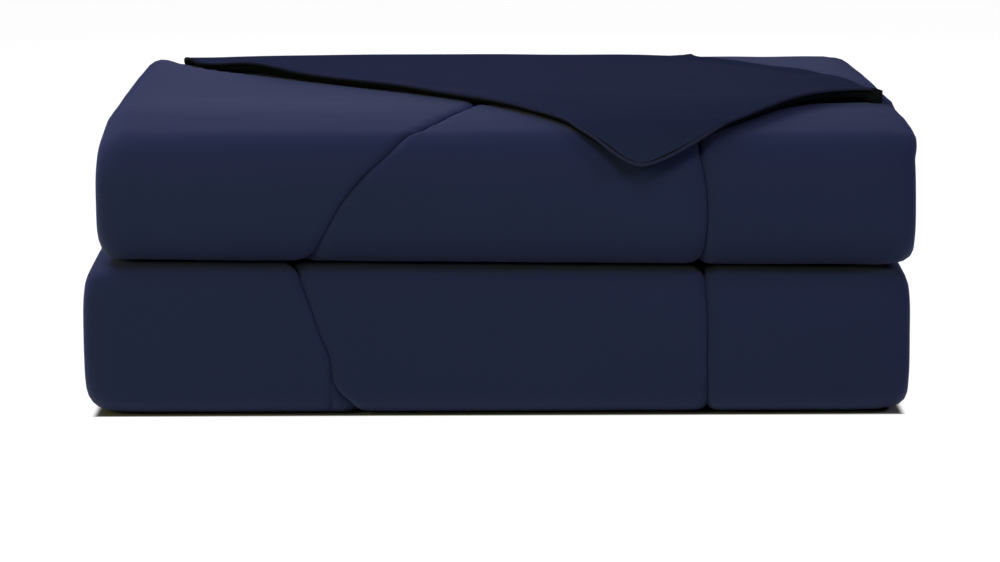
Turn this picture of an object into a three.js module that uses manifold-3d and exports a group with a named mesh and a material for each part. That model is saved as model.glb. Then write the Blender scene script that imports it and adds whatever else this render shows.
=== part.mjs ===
// A quilted cooling comforter, folded for the shelf, with the corner of its top turned over.
// Millimetres, X to the right, Y to the back, Z up. The folded noses face the front, -Y.
import * as THREE from 'three';
import Module from 'manifold-3d';

const wasm = await Module();
wasm.setup();

// The comforter as cut. It is folded in thirds across its width, then back and forth along its length.
const cutWidth = 1727;
const cutLength = 2286;
const foldedWidth = cutWidth / 3;
const foldedDepth = cutLength / 4;

// One strip is three layers thick. The lower bundle holds two passes of it, and so does the upper one.
const lowerStrip = 52;
const upperStrip = 49.3;
const layerGap = 1.2;
const bundleGap = 1.6;

// The end folds of the layers: how far each rounds in X outside and inside, and how square its corner is in the lower
// and the upper bundle (2 is an ellipse).
const leftFold = { reach: 27, hollow: 12, steps: 8, squareLower: 3.3, squareUpper: 3 };
const rightFold = { reach: 22, hollow: 1.2, steps: 6, squareLower: 3.3, squareUpper: 3.3 };

// The trough of a seam of the outermost layer: a row for each place across it.
const seamDepth = 4;
const seamHalfWidth = 11;
const seamTrough = [
  { across: 1, depth: 0 },
  { across: 0.45, depth: 0.6 },
  { across: 0, depth: 1 },
  { across: -0.45, depth: 0.6 },
  { across: -1, depth: 0 },
];

// Where the two seams stand in X along the run. The whole part of `at` is the row of the run, and its fraction the
// part of the way along that row.
const seamRows = [
  { at: 0, curved: -60, straight: 143 },
  { at: 1, curved: -143, straight: 143 },
  { at: 1.21, curved: -137.6, straight: 144.4 },
  { at: 1.36, curved: -128, straight: 146.7 },
  { at: 1.46, curved: -122.5, straight: 146.7 },
  { at: 1.56, curved: -116, straight: 146.7 },
  { at: 1.65, curved: -114.6, straight: 146.8 },
  { at: 1.7, curved: -110.8, straight: 146.9 },
  { at: 1.77, curved: -102, straight: 147 },
  { at: 2, curved: -92, straight: 147 },
  { at: 3, curved: -60, straight: 146 },
  { at: 3.5, curved: 0, straight: 142 },
  { at: 4, curved: 42, straight: 138.9 },
  { at: 4.74, curved: -22, straight: 134.3 },
  { at: 4.914, curved: -46.3, straight: 133.9 },
  { at: 5.025, curved: -64.4, straight: 134.8 },
  { at: 5.215, curved: -81.2, straight: 136.6 },
  { at: 5.34, curved: -98.1, straight: 139.7 },
  { at: 5.468, curved: -112, straight: 141.4 },
  { at: 5.612, curved: -122.8, straight: 141.5 },
  { at: 5.73, curved: -131.4, straight: 139.8 },
  { at: 5.79, curved: -134.8, straight: 138 },
  { at: 6, curved: -140, straight: 138 },
  { at: 7, curved: -60, straight: 140 },
];

// The hems, which taper to the edge inside the end folds.
const hemThickness = 5;
const hemTaper = 16;
const hemInset = 2;

// The passes of the strip. Inner is the height of the face that its folds close on, outer that of the other face.
const bottomPass = { inner: lowerStrip, outer: 0 };
const lowerTuck = { inner: lowerStrip + layerGap, outer: 2 * lowerStrip + layerGap };
const upperTuck = {
  inner: lowerTuck.outer + bundleGap + upperStrip,
  outer: lowerTuck.outer + bundleGap,
};
const topPass = {
  inner: upperTuck.inner + layerGap,
  outer: upperTuck.inner + layerGap + upperStrip,
  pressed: true,
};

// Where the straight passes end and the folds begin, front to back. The tucked ends stop a little short of the back
// fold.
const lowerNoseReach = 46;
const upperNoseReach = 50;
const backReach = 78;
const tuckShort = 4;
const frontY = -foldedDepth / 2;
const backY = foldedDepth / 2 - backReach;
const lowerNoseY = frontY + lowerNoseReach;
const upperNoseY = frontY + upperNoseReach;
const tuckY = backY - tuckShort;

// The strip from one tucked end to the other, a row for each pass and fold.
const run = [
  { from: lowerTuck, y0: tuckY, y1: lowerNoseY, steps: 3 },
  { from: lowerTuck, to: bottomPass, y: lowerNoseY, side: -1, hollow: 0.6, reach: lowerNoseReach, steps: 10,
    squareTop: 4.4, squareLow: 3.4 },
  { from: bottomPass, y0: lowerNoseY, y1: backY, steps: 4 },
  { from: bottomPass, to: topPass, y: backY, side: 1, hollow: 26, reach: backReach, steps: 13,
    squareTop: 2.6, squareLow: 2.8 },
  { from: topPass, y0: backY, y1: upperNoseY, steps: 6 },
  { from: topPass, to: upperTuck, y: upperNoseY, side: -1, hollow: 0.6, reach: upperNoseReach, steps: 11,
    squareTop: 2.4, squareLow: 2.9 },
  { from: upperTuck, y0: upperNoseY, y1: tuckY, steps: 3 },
];
const [, , , backFold, topRun, upperNose] = run;

// Length along the outside of the stack from the front crest, over the top and down the back.
const topLength = backY - upperNoseY;
const noseLength = 165;
const backLength = 325;

// The turned corner. Each row is a place on its free edge: X, length along the outside from the front crest (less
// than nought is down the front), and the heights above the stack of the edge and of the underside of the rim.
const freeEdge = [
  { x: -253, along: 695, high: 6, under: 3.4 },
  { x: -257, along: 650, high: 6, under: 3.4 },
  { x: -260, along: 605, high: 6, under: 3.4 },
  { x: -260, along: 560, high: 5, under: 2 },
  { x: -259, along: 520, high: 3, under: 0 },
  { x: -255, along: 480, high: -0.5, under: -3.5 },
  { x: -247, along: 443, high: -1.8, under: -4.6 },
  { x: -238.4, along: 412, high: -1.4, under: -4.4 },
  { x: -224, along: 387, high: 0.5, under: -3 },
  { x: -210.4, along: 365, high: 3.5, under: -0.5 },
  { x: -193.9, along: 337, high: 6, under: 1 },
  { x: -175.2, along: 302, high: 6.3, under: 1 },
  { x: -159.5, along: 280, high: 4.8, under: 1 },
  { x: -137.7, along: 256, high: 3.8, under: 1 },
  { x: -109.9, along: 228, high: 3.6, under: 1 },
  { x: -79, along: 193, high: 3.9, under: 1 },
  { x: -55, along: 160, high: 3.7, under: 1 },
  { x: -30, along: 125, high: 3.5, under: 1 },
  { x: -3, along: 89.7, high: 3.3, under: 1 },
  { x: 21.1, along: 47.6, high: 3.6, under: 1 },
  { x: 40.4, along: 12.1, high: 4.5, under: 1.2 },
  { x: 52.2, along: -16.5, high: 5.5, under: 1.8 },
  { x: 63.2, along: -30, high: 7, under: 2.6 },
  { x: 74.1, along: -41, high: 9, under: 4 },
  { x: 85.1, along: -48.9, high: 11.4, under: 6 },
  { x: 93.6, along: -52, high: 12.5, under: 7.5 },
  { x: 102.1, along: -50.2, high: 11.2, under: 7 },
  { x: 111, along: -46.3, high: 9.5, under: 6 },
  { x: 120.9, along: -41, high: 8, under: 4.8 },
  { x: 139.8, along: -27.3, high: 6.5, under: 3.2 },
  { x: 159.1, along: -2.9, high: 5.5, under: 2 },
  { x: 183.9, along: 43, high: 5, under: 1 },
  { x: 203, along: 83, high: 5, under: 1 },
  { x: 222, along: 116, high: 5.2, under: 0.8 },
  { x: 240, along: 134, high: 5.5, under: 0.4 },
  { x: 254, along: 137.5, high: 6, under: -0.2 },
  { x: 266, along: 138, high: 6, under: -0.7 },
  { x: 276.5, along: 142, high: 4.5, under: -1.2 },
];
const tipRow = 25;

// The crease it is turned over on, from the right end of the stack to the back and down to the foot.
const crease = [
  { x: 279.5, along: 150 },
  { x: 275, along: 174 },
  { x: 269.5, along: 198 },
  { x: 263, along: 238 },
  { x: 250.9, along: 283 },
  { x: 236.2, along: 317 },
  { x: 214.1, along: 352 },
  { x: 189.8, along: 388 },
  { x: 169.4, along: 417 },
  { x: 154.2, along: 443 },
  { x: 150, along: 560 },
  { x: 190, along: 695 },
];

// Its thickness and how much thinner it is at its sides, how far its rim rises above the height of its edge, and how
// far it lies above the stack.
const flapThickness = 8;
const flapSideThin = 2.2;
const rimTop = 1.8;
const flapRest = 1.5;
const rimWidth = 42;

// The round of the crease, how deep it is joined into the stack, and how far the join reaches past the round.
const creaseWidth = 15;
const creaseDepth = 6;
const joinStart = 0.7;
const joinEnd = 1.5;
const leastThickness = 1;

// The foot of the back, where the corner thins out: the part of the way down that it begins at.
const footStart = 0.9;
const footRise = 1;

const flapColumns = 12;
const flapRows = 27;
const columnCrowding = 0.4;

// The weight of the turned corner presses the top of the stack. Each row is a part of the way from the front crest to
// the back, with the limits of the press in X and its depth there.
const press = [
  { part: 0, leftX: 58, rightX: 330, depth: 1.5 },
  { part: 0.3, leftX: -10, rightX: 330, depth: 3.5 },
  { part: 0.36, leftX: -30, rightX: 276, depth: 4 },
  { part: 0.64, leftX: -137, rightX: 246, depth: 5.3 },
  { part: 0.79, leftX: -198, rightX: 209, depth: 6 },
  { part: 0.94, leftX: -238, rightX: 163, depth: 6.6 },
  { part: 1, leftX: -252, rightX: 148, depth: 6.7 },
];
const pressFade = { left: 12, right: 13 };

// Slack and small unevenness: each bundle is a little wider than the fold and leans in X, between leanFrom and leanTo
// in height, the ends stand out halfway from front to back, the gap between the bundles runs down to the right, and
// the foot curls up at the ends.
const lowerBundle = { widen: 1.018, lean: -2.5 };
const upperBundle = { widen: 1.007, lean: 4 };
const leanFrom = 95;
const leanTo = 118;
const endBulge = { left: 4, right: 3 };

// The crown of the top, which slopes down to its front crest, and fades out lower down. The top edge of each end
// stands out by its shoulder.
const crown = { drop: 5.5, run: 110, from: 120 };
const shoulders = { left: { front: 0, back: 5 }, right: { front: 6, back: -8 }, from: 187, to: 206 };
const gapTilt = 3;
const footCurl = { start: 240, width: 50, lift: 2.5, height: 46 };

const pipingRadius = 1.3;
const pipingRise = 0.9; // how far its middle lies above the height of the free edge
const pipingGap = 0.6;
const pipingSides = 8;
const pipingStartRow = 2; // it begins this many rows of the corner above the foot

const lerp = THREE.MathUtils.lerp;
const smooth = (value, low, high) => THREE.MathUtils.smoothstep(value, low, high);

// Polar radius of a rounded square of half side 1.
function squareRadius(angle, squareness) {
  const c = Math.abs(Math.cos(angle));
  const s = Math.abs(Math.sin(angle));
  return (c ** squareness + s ** squareness) ** (-1 / squareness);
}

// A smooth curve through the rows of a table of places on the outside, with a column of heights.
function curveThrough(rows, column) {
  return new THREE.CatmullRomCurve3(
    rows.map((row) => new THREE.Vector3(row.x, row.along, row[column] ?? 0)), false, 'centripetal');
}

// The row of a table after a value in a column, and how far on the way to it.
function rowsAround(rows, column, value) {
  const found = rows.findIndex((row, k) => k > 0 && row[column] >= value);
  const after = found > 0 ? found : rows.length - 1;
  const start = rows[after - 1][column];
  return [after, (value - start) / (rows[after][column] - start)];
}

// X of a seam along the run, a smooth curve through its rows.
function seamXAt(seam, at) {
  const [k, t] = rowsAround(seamRows, 'at', at);
  const step = seamRows[k].at - seamRows[k - 1].at;
  const slope = (j) => {
    const low = seamRows[Math.max(j - 1, 0)];
    const high = seamRows[Math.min(j + 1, seamRows.length - 1)];
    return (high[seam] - low[seam]) / (high.at - low.at) * step;
  };
  const rise = seamRows[k][seam] - seamRows[k - 1][seam];
  return seamRows[k - 1][seam] + slope(k - 1) * t + (3 * rise - 2 * slope(k - 1) - slope(k)) * t ** 2
    + (slope(k - 1) + slope(k) - 2 * rise) * t ** 3;
}

// How deep the turned corner presses the top of the stack at a place.
function pressAt(x, y) {
  const [k, t] = rowsAround(press, 'part', THREE.MathUtils.clamp((y - upperNoseY) / topLength, 0, 1));
  const value = (column) => lerp(press[k - 1][column], press[k][column], t);
  const pastLeft = smooth(x, value('leftX') - 2 * pressFade.left, value('leftX'));
  const pastRight = smooth(x, value('rightX') - pressFade.right, value('rightX') + pressFade.right);
  return value('depth') * pastLeft * (1 - pastRight);
}

// Height of a pass at a fraction of its thickness, 0 on its inner face and 1 on its outer one.
function passHeight(pass, fraction, x, y, bare) {
  const press = pass.pressed && !bare ? pressAt(x, y) : 0;
  return pass.inner + (pass.outer - pass.inner - press) * fraction;
}

// The place in Y and Z of a row of the run, at part t of its length and a fraction of the strip's thickness.
function placeOn(row, t, x, fraction, bare = false) {
  if (!row.to) {
    const y = lerp(row.y0, row.y1, t);
    return [y, passHeight(row.from, fraction, x, y, bare)];
  }
  const angle = t * Math.PI;
  const z0 = passHeight(row.from, fraction, x, row.y, bare);
  const z1 = passHeight(row.to, fraction, x, row.y, bare);
  const isTopHalf = (z0 > z1) === (angle < Math.PI / 2);
  const outerSquareness = isTopHalf ? row.squareTop : row.squareLow;
  const squareness = lerp(2, outerSquareness, Math.min(fraction, 1));
  const radius = squareRadius(angle, squareness);
  const reach = lerp(row.hollow, row.reach, fraction);
  return [
    row.y + row.side * reach * radius * Math.sin(angle),
    (z0 + z1) / 2 + (z0 - z1) / 2 * radius * Math.cos(angle),
  ];
}

// Slack and small unevenness of the whole stack, the same for every piece.
function settle(x, y, z) {
  const side = x / (foldedWidth / 2);
  const up = smooth(z, leanFrom, leanTo);
  const shoulder = x < 0 ? shoulders.left : shoulders.right;
  const backwards = THREE.MathUtils.clamp((y - upperNoseY) / topLength, 0, 1);
  const bulge = (x < 0 ? endBulge.left : endBulge.right) * Math.max(0, Math.cos(Math.PI * y / foldedDepth))
    + lerp(shoulder.front, shoulder.back, backwards) * smooth(z, shoulders.from, shoulders.to);
  const wide = x * lerp(lowerBundle.widen, upperBundle.widen, up) + lerp(lowerBundle.lean, upperBundle.lean, up)
    + bulge * side * side ** 2;
  const forward = Math.max(0, (upperNoseY + crown.run - y) / crown.run);
  const slope = forward < 1 ? forward ** 2 : 2 * forward - 1;
  const sunk = crown.drop * slope * smooth(z, crown.from, topPass.outer);
  const tilt = -gapTilt * side * Math.sin(Math.PI * THREE.MathUtils.clamp(z / topPass.outer, 0, 1));
  const curl = footCurl.lift * Math.max(0, (Math.abs(x) - footCurl.start) / footCurl.width) ** 2
    * Math.max(0, 1 - z / footCurl.height);
  return [wide, y, z + tilt + curl - sunk];
}

// A place on the outside of the stack, raised above it. Bare leaves out what the turned corner presses in.
function outside(x, along, high, bare = true) {
  const fraction = 1 + high / upperStrip;
  let place;
  if (along < 0) place = placeOn(upperNose, -along / noseLength, x, fraction, bare);
  else if (along <= topLength) place = placeOn(topRun, 1 - along / topLength, x, fraction, bare);
  else place = placeOn(backFold, 1 - (along - topLength) / backLength, x, fraction, bare);
  return settle(x, ...place);
}

// A closed sheet with two faces, from point(column, row, face) over a grid.
function closedSheet(columns, rows, point) {
  const positions = [];
  const index = (i, j, face) => (face * (rows + 1) + j) * (columns + 1) + i;
  for (const face of [0, 1]) {
    for (let j = 0; j <= rows; j++) {
      for (let i = 0; i <= columns; i++) positions.push(...point(i, j, face));
    }
  }
  const triangles = [];
  const quad = (a, b, c, d) => triangles.push(a, b, c, a, c, d);
  for (let j = 0; j < rows; j++) {
    for (let i = 0; i < columns; i++) {
      quad(index(i, j, 1), index(i + 1, j, 1), index(i + 1, j + 1, 1), index(i, j + 1, 1));
      quad(index(i, j, 0), index(i, j + 1, 0), index(i + 1, j + 1, 0), index(i + 1, j, 0));
    }
  }
  for (let i = 0; i < columns; i++) {
    quad(index(i, 0, 0), index(i + 1, 0, 0), index(i + 1, 0, 1), index(i, 0, 1));
    quad(index(i, rows, 1), index(i + 1, rows, 1), index(i + 1, rows, 0), index(i, rows, 0));
  }
  for (let j = 0; j < rows; j++) {
    quad(index(0, j, 1), index(0, j + 1, 1), index(0, j + 1, 0), index(0, j, 0));
    quad(index(columns, j, 0), index(columns, j + 1, 0), index(columns, j + 1, 1), index(columns, j, 1));
  }
  return solidFrom(positions, triangles);
}

// A closed cord, from ring(row) that gives its centre and the two directions of its section.
function closedCord(rows, sides, radius, ring) {
  const positions = [];
  const triangles = [];
  for (let j = 0; j <= rows; j++) {
    const { centre, across, up } = ring(j);
    for (let k = 0; k < sides; k++) {
      const angle = 2 * Math.PI * k / sides;
      positions.push(...centre.clone()
        .addScaledVector(across, radius * Math.cos(angle))
        .addScaledVector(up, radius * Math.sin(angle)).toArray());
    }
  }
  for (let j = 0; j < rows; j++) {
    for (let k = 0; k < sides; k++) {
      const next = (k + 1) % sides;
      const [a, b, c, d] = [j * sides + k, j * sides + next, (j + 1) * sides + next, (j + 1) * sides + k];
      triangles.push(a, b, c, a, c, d);
    }
  }
  for (let k = 1; k < sides - 1; k++) {
    triangles.push(0, k + 1, k);
    triangles.push(rows * sides, rows * sides + k, rows * sides + k + 1);
  }
  return solidFrom(positions, triangles);
}

// A manifold solid from a closed triangle list, turned so that it faces out.
function solidFrom(positions, triangles) {
  let volume = 0;
  const corner = (n) => new THREE.Vector3().fromArray(positions, 3 * n);
  for (let n = 0; n < triangles.length; n += 3) {
    volume += corner(triangles[n]).dot(corner(triangles[n + 1]).cross(corner(triangles[n + 2])));
  }
  if (volume < 0) triangles.reverse();
  return new wasm.Manifold(new wasm.Mesh({
    numProp: 3,
    vertProperties: new Float32Array(positions),
    triVerts: new Uint32Array(triangles),
  }));
}

// The section across the strip: one band of cloth, from the hem inside the left end, round the right end, along the
// outermost layer, round the left end and back to the hem at the right. Each column has a place for both faces: X and
// the fraction of the strip's thickness.
function stripSection() {
  const strip = (lowerStrip + upperStrip) / 2;
  const third = 1 / 3;
  const half = layerGap / 2 / strip;
  const hem = hemThickness / 2 / strip;
  const endX = foldedWidth / 2;
  const leftX = -endX + leftFold.reach;
  const rightX = endX - rightFold.reach;
  const columns = [];
  const flat = (x, reverse, outer) => columns.push({ kind: 'flat', x, faces: [reverse, outer] });
  const hemEdge = (x, middle) => flat(x, middle + hem, middle - hem);
  const turn = (atX, side, centre, fold, inner, outer) => {
    for (let step = 1; step < fold.steps; step++) {
      const angle = side * Math.PI * (step / fold.steps - 0.5);
      columns.push({ kind: 'fold', atX, side, centre, fold, inner, outer, angle });
    }
  };

  hemEdge(leftX + hemInset, third * 1.5);
  for (const x of [leftX + hemTaper, 0, rightX]) flat(x, 2 * third - half, third + half);
  turn(rightX, 1, 2 * third, rightFold, half, third - half);
  for (const column of outerColumns(leftX, rightX)) {
    columns.push({ kind: 'outer', faces: [2 * third + half, 1], ...column });
  }
  turn(leftX, -1, third * 1.5, leftFold, third / 2 + half, third * 1.5);
  for (const x of [leftX, 0, endX - hemTaper]) flat(x, third - half, 0);
  hemEdge(endX - hemInset, third / 2);
  return columns;
}

// The columns of the outermost layer from right to left, closer together at its two seams.
function outerColumns(leftX, rightX) {
  const seam = (seamAt) => seamTrough.map(({ across, depth }) => ({ seamAt, offset: across * seamHalfWidth, depth }));
  return [
    { between: ['right', 'straight'], part: 0 },
    { between: ['right', 'straight'], part: 0.5 },
    ...seam('straight'),
    { between: ['straight', 'curved'], part: 1 / 3 },
    { between: ['straight', 'curved'], part: 2 / 3 },
    ...seam('curved'),
    { between: ['curved', 'left'], part: 0.5 },
    { between: ['curved', 'left'], part: 0.9 },
    { between: ['curved', 'left'], part: 1 },
  ].map((column) => ({ ...column, leftX, rightX }));
}

// X of a column of the outermost layer at a place along the run.
function outerX(column, at) {
  const stops = {
    right: column.rightX, straight: seamXAt('straight', at), curved: seamXAt('curved', at), left: column.leftX,
  };
  if (column.seamAt) return stops[column.seamAt] + column.offset;
  const [a, b] = column.between;
  const inset = { straight: seamHalfWidth, curved: seamHalfWidth, right: 0, left: 0 };
  return lerp(stops[a] - inset[a], stops[b] + inset[b], column.part);
}

// X and fraction of one face of a column, at a place along the run.
function sectionPlace(column, face, at) {
  if (column.kind === 'fold') {
    const upper = THREE.MathUtils.clamp(at - run.indexOf(backFold), 0, 1);
    const squareness = lerp(column.fold.squareLower, column.fold.squareUpper, upper);
    const radius = squareRadius(column.angle, lerp(2, squareness, face));
    const reach = face ? column.fold.reach : column.fold.hollow;
    const rise = face ? column.outer : column.inner;
    return [
      column.atX + column.side * reach * radius * Math.cos(column.angle),
      column.centre + rise * radius * Math.sin(column.angle),
    ];
  }
  if (column.kind === 'outer') {
    const pinch = seamDepth / upperStrip * (column.depth ?? 0);
    return [outerX(column, at), column.faces[face] + (face ? -pinch : pinch)];
  }
  return [column.x, column.faces[face]];
}

// The filled body: the section across, carried along the run.
function foldedBody() {
  const columns = stripSection();
  const stations = [];
  run.forEach((row, number) => {
    const first = number ? 1 : 0;
    for (let step = first; step <= row.steps; step++) stations.push({ row, number, t: step / row.steps });
  });
  return closedSheet(columns.length - 1, stations.length - 1, (i, j, face) => {
    const { row, number, t } = stations[j];
    const [x, fraction] = sectionPlace(columns[i], face, number + t);
    return settle(x, ...placeOn(row, t, x, fraction));
  });
}

// The free edge of the turned corner, shared by the corner and its piping. Part 0 to 1 runs from the foot of the back
// to the tip on the left side, and from the right end of the crease to the tip on the front side.
const leftEdge = freeEdge.slice(0, tipRow + 1);
const frontEdge = freeEdge.slice(tipRow).reverse();
const leftSide = curveThrough(leftEdge, 'high');
const leftUnder = curveThrough(leftEdge, 'under');
const frontSide = curveThrough(frontEdge, 'high');
const frontUnder = curveThrough(frontEdge, 'under');
const creaseLine = curveThrough(crease, 'high');
const backSide = new THREE.LineCurve3(
  new THREE.Vector3(crease.at(-1).x, crease.at(-1).along, freeEdge[0].high),
  new THREE.Vector3(freeEdge[0].x, freeEdge[0].along, freeEdge[0].high));

// A place in the turned corner: X, length along the outside and the height its rim has nearby.
function cornerPlace(a, b) {
  const right = creaseLine.getPoint(b);
  const left = leftSide.getPoint(1 - b);
  const front = frontSide.getPoint(a);
  const back = backSide.getPoint(a);
  const mix = (p, q, t) => p.clone().lerp(q, t);
  const corners = mix(mix(creaseLine.getPoint(0), leftSide.getPoint(1), a),
    mix(creaseLine.getPoint(1), leftSide.getPoint(0), a), b);
  const place = mix(right, left, a).add(mix(front, back, b)).sub(corners);
  return { place, toLeft: place.distanceTo(left), toFront: place.distanceTo(front), toCrease: place.distanceTo(right) };
}

// The grid of the turned corner: columns from the crease to the left side, closest at the crease, and rows from the
// front side to the foot.
const columnAt = (i) => lerp(i / flapColumns, (i / flapColumns) ** 2, columnCrowding);
const rowAt = (j) => j / flapRows;

// The turned corner: one layer lying on the top and down the back. It is joined to the stack but for its rim.
function turnedCorner() {
  return closedSheet(flapColumns, flapRows, (i, j, face) => {
    const a = columnAt(i);
    const b = rowAt(j);
    const { place, toLeft, toFront, toCrease } = cornerPlace(a, b);
    const nearLeft = 1 - smooth(toLeft, 0, rimWidth);
    const nearFront = 1 - smooth(toFront, 0, rimWidth);
    const nearRim = Math.max(nearLeft, nearFront);
    const rimHeight = (left, front) => (
      nearRim ? (left.getPoint(1 - b).z * nearLeft + front.getPoint(a).z * nearFront) / (nearLeft + nearFront) : 0);
    const y = outside(place.x, place.y, 0)[1];
    const restHeight = flapRest - pressAt(place.x, y);
    const thickness = flapThickness - flapSideThin * (2 * a - 1) ** 2;
    let low = lerp(restHeight, rimHeight(leftUnder, frontUnder), nearRim);
    let high = lerp(restHeight + thickness, rimHeight(leftSide, frontSide) + rimTop, nearRim);
    const foot = smooth(b, footStart, 1);
    high = lerp(high, footRise, foot);
    const joined = Math.max(1 - smooth(toCrease, creaseWidth * joinStart, creaseWidth * joinEnd), foot, 1 - nearRim);
    low = lerp(low, -pressAt(place.x, y) - creaseDepth, joined);
    const round = Math.sqrt(1 - (1 - Math.min(toCrease / creaseWidth, 1)) ** 2);
    high = lerp(low + leastThickness, high, round);
    return outside(place.x, place.y, face ? high : low);
  });
}

// The sewn cord along the free edge, a little off the rim.
function edgePiping() {
  const offset = pipingRadius + pipingGap;
  const edges = [];
  for (let j = flapRows - pipingStartRow; j >= 0; j--) edges.push(leftSide.getPoint(1 - rowAt(j)));
  for (let i = flapColumns - 1; i >= 1; i--) edges.push(frontSide.getPoint(columnAt(i)));
  return closedCord(edges.length - 1, pipingSides, pipingRadius, (row) => {
    const edge = edges[row];
    const before = edges[Math.max(row - 1, 0)];
    const after = edges[Math.min(row + 1, edges.length - 1)];
    const alongEdge = after.clone().sub(before).setZ(0).normalize();
    const outX = edge.x + alongEdge.y * offset;
    const outAlong = edge.y - alongEdge.x * offset;
    const high = edge.z + pipingRise;
    const centre = new THREE.Vector3(...outside(outX, outAlong, high));
    const rim = new THREE.Vector3(...outside(edge.x, edge.y, high));
    const above = new THREE.Vector3(...outside(outX, outAlong, high + 1));
    return { centre, across: centre.clone().sub(rim).normalize(), up: above.sub(centre).normalize() };
  });
}

// A solid with the small pockets filled that its layers close off where they touch.
function withoutPockets(solid) {
  return solid.decompose().reduce((most, shell) => (shell.volume() > most.volume() ? shell : most));
}

// A named mesh of a solid.
function meshOf(name, solid, material) {
  const { vertProperties, triVerts } = solid.getMesh();
  const geometry = new THREE.BufferGeometry();
  geometry.setAttribute('position', new THREE.BufferAttribute(new Float32Array(vertProperties), 3));
  geometry.setIndex(new THREE.BufferAttribute(new Uint32Array(triVerts), 1));
  geometry.computeVertexNormals();
  const mesh = new THREE.Mesh(geometry, material);
  mesh.name = name;
  return mesh;
}

const cloth = new THREE.MeshStandardMaterial({ color: 0x22283d, roughness: 0.62, metalness: 0 });
const cord = new THREE.MeshStandardMaterial({ color: 0x32374e, roughness: 0.5, metalness: 0 });

const comforter = new THREE.Group();
comforter.add(
  meshOf('comforter', withoutPockets(foldedBody().add(turnedCorner())), cloth),
  meshOf('piping', edgePiping(), cord),
);

// The origin is the middle of the footprint, on the surface it rests on.
const box = new THREE.Box3().setFromObject(comforter);
const middle = box.getCenter(new THREE.Vector3());
for (const mesh of comforter.children) mesh.geometry.translate(-middle.x, -middle.y, -box.min.z);

export default comforter;
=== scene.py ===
import math

import bmesh
import bpy
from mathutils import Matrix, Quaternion, Vector, noise


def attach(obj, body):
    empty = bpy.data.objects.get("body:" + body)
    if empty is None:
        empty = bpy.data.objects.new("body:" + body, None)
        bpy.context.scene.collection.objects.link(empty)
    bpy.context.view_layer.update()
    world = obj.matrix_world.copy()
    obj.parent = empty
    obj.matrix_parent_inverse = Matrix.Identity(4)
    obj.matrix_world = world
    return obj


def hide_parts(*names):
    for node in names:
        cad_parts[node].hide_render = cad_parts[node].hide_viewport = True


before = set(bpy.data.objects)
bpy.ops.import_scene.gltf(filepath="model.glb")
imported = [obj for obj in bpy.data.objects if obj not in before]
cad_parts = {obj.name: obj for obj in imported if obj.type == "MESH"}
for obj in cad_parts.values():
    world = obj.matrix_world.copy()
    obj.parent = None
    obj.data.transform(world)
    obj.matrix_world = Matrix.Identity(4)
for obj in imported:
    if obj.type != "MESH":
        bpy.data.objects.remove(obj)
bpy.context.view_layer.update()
mm = 0.001

# Sizes below are in millimetres and become metres as each mesh is made.
# X runs to the right, Y to the back and Z up. The round folds face the front, -Y.

# The comforter as cut, and how it is folded: in thirds across, then back and forth along its length.
folding = {
    "cutWidth": 1727,
    "cutLength": 2286,
    "lowerStrip": 52,        # three layers of the lower bundle
    "upperStrip": 49.3,
    "layerGap": 1.2,
    "bundleGap": 1.6,
    "lowerNoseReach": 46,
    "upperNoseReach": 50,
    "backReach": 78,
    "backHollow": 26,
    "noseHollow": 0.6,
    "tuckShort": 4,          # how far the tucked ends stop short of the back fold
    "leftFold": {"reach": 27, "hollow": 12, "steps": 20, "squareLower": 3.3, "squareUpper": 3.0},
    "rightFold": {"reach": 22, "hollow": 1.2, "steps": 14, "squareLower": 3.3, "squareUpper": 3.3},
    "hemThickness": 5,
    "hemTaper": 16,
    "hemInset": 2,
    "gapTilt": 3,            # the gap between the bundles runs down to the right
    "curlStart": 240,
    "curlWidth": 50,
    "curlLift": 2.5,
    "curlHeight": 46,
    "lower": {"widen": 1.018, "lean": -2.5},     # the slack folds of each bundle, and how it leans in X
    "upper": {"widen": 1.007, "lean": 4},
    "leanFrom": 95,          # heights between which the lower bundle's slack becomes the upper one's
    "leanTo": 118,
    "leftBulge": 4,          # how far the ends stand out halfway from front to back
    "rightBulge": 3,
    "crown": 5.5,            # how far the top slopes down to its front crest
    "crownRun": 110,
    "crownFrom": 120,        # height that the crown fades out to
    "leftShoulder": {"front": 0, "back": 5},     # how far the top edge of each end stands out
    "rightShoulder": {"front": 6, "back": -8},
    "shoulderFrom": 187,
    "shoulderTo": 206,
    "shift": (1.17, -0.24),  # moves the stack, so that the middle of its footprint is the origin
}

foldedWidth = folding["cutWidth"] / 3
foldedDepth = folding["cutLength"] / 4
lowerStrip = folding["lowerStrip"]
upperStrip = folding["upperStrip"]
layerGap = folding["layerGap"]

# The heights of the four passes: inner is the face that the folds close on.
bottomPass = {"inner": lowerStrip, "outer": 0, "pressed": False}
lowerTuck = {"inner": lowerStrip + layerGap, "outer": 2 * lowerStrip + layerGap, "pressed": False}
upperTuckLow = lowerTuck["outer"] + folding["bundleGap"]
upperTuck = {"inner": upperTuckLow + upperStrip, "outer": upperTuckLow, "pressed": False}
topPass = {
    "inner": upperTuck["inner"] + layerGap,
    "outer": upperTuck["inner"] + layerGap + upperStrip,
    "pressed": True,
}

frontY = -foldedDepth / 2
backY = foldedDepth / 2 - folding["backReach"]
lowerNoseY = frontY + folding["lowerNoseReach"]
upperNoseY = frontY + folding["upperNoseReach"]
tuckY = backY - folding["tuckShort"]

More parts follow.
